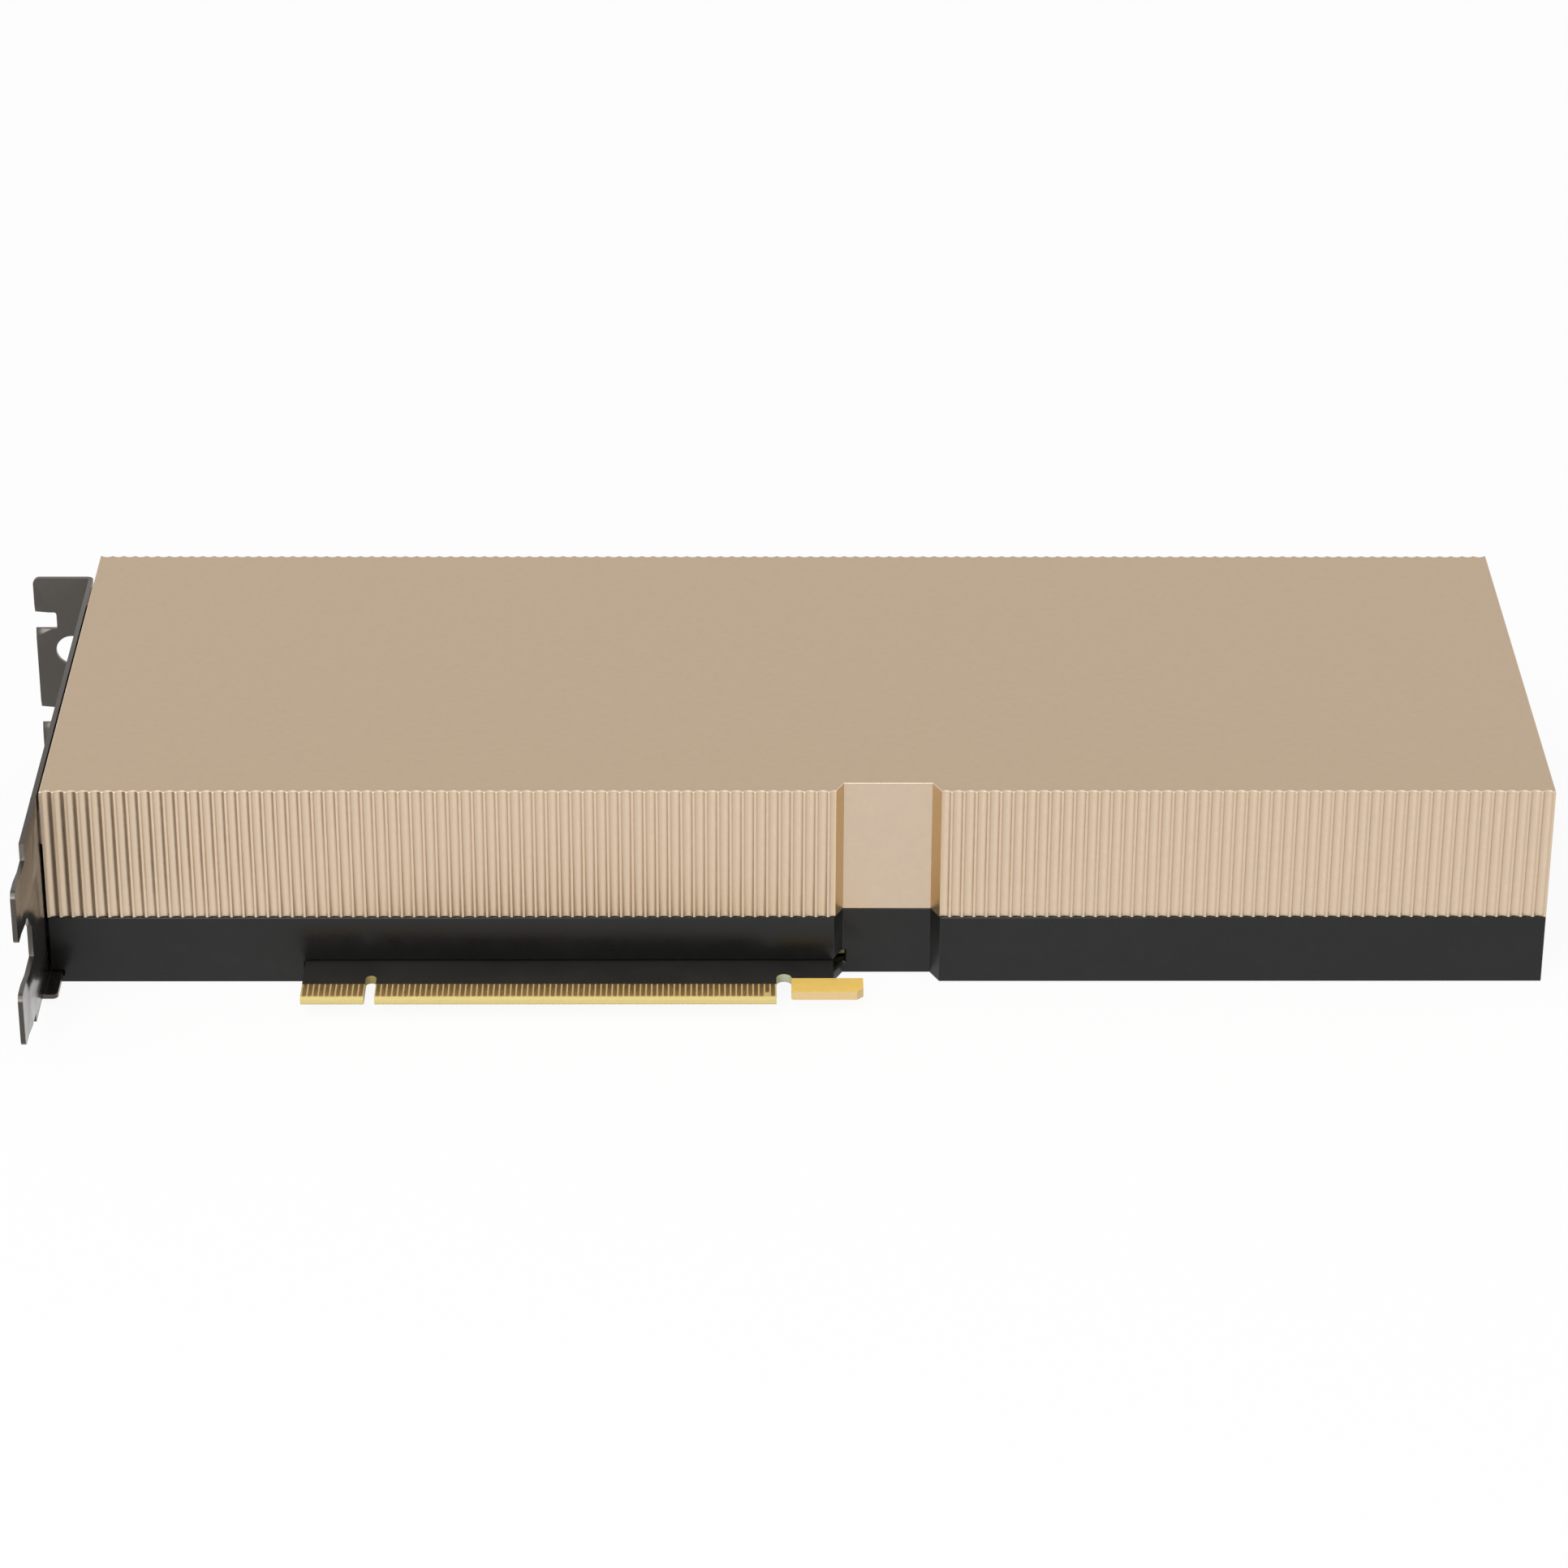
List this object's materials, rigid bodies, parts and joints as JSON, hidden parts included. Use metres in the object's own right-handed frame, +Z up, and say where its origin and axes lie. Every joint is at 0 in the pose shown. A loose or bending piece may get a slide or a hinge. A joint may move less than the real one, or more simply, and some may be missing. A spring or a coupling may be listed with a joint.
{
  "type": "passive accelerator card",
  "caption": "Full-height two-slot expansion card with no fan: a fluted metal cover on a flat frame over a heatsink, a vented slot bracket at one end and an edge connector along one side.",
  "frame": {"origin": "middle of the housing's flat underside, at half its length and half its width", "axes": "+X along the housing, away from the slot bracket; -Y is the side with the edge connector; +Z up through the cover"},
  "size_m": [0.2794, 0.1282, 0.0384],
  "materials": {
    "gold_anodised": "satin anodised, fine brushing",
    "black_anodised": "satin black anodised",
    "solder_mask": "matte black solder mask",
    "gold_plating": "plated, polished",
    "bracket_steel": "dark nickel plating, satin",
    "screw_steel": "black oxide",
    "sink_metal": "nickel-plated",
    "fin_metal": "plain sheet",
    "substrate": "matte",
    "silicon": "polished",
    "paste": "matte",
    "stiffener_steel": "satin",
    "ferrite": "matte",
    "chip_black": "matte",
    "pad_grey": "soft, matte",
    "can_metal": "satin",
    "connector_black": "moulded",
    "pin_metal": "tin-plated"
  },
  "bodies": {
    "root": {"cover": "gold_anodised", "frame": "black_anodised", "circuit_board": "solder_mask", "component_side_contacts": "gold_plating", "solder_side_contacts": "gold_plating", "hook_plating": "gold_plating", "slot_bracket": "bracket_steel", "bracket_screws": "screw_steel", "cover_screws": "screw_steel", "heatsink_screws": "screw_steel", "lug_screw": "screw_steel", "vapour_chamber": "sink_metal", "fin_stack": "fin_metal", "package_substrate": "substrate", "processor_die": "silicon", "memory_stacks": "silicon", "thermal_paste": "paste", "package_stiffener": "stiffener_steel", "chokes": "ferrite", "power_stages": "chip_black", "thermal_pads": "pad_grey", "bulk_capacitors": "can_metal", "power_connector": "connector_black", "power_pins": "pin_metal"}
  },
  "joints": []
}
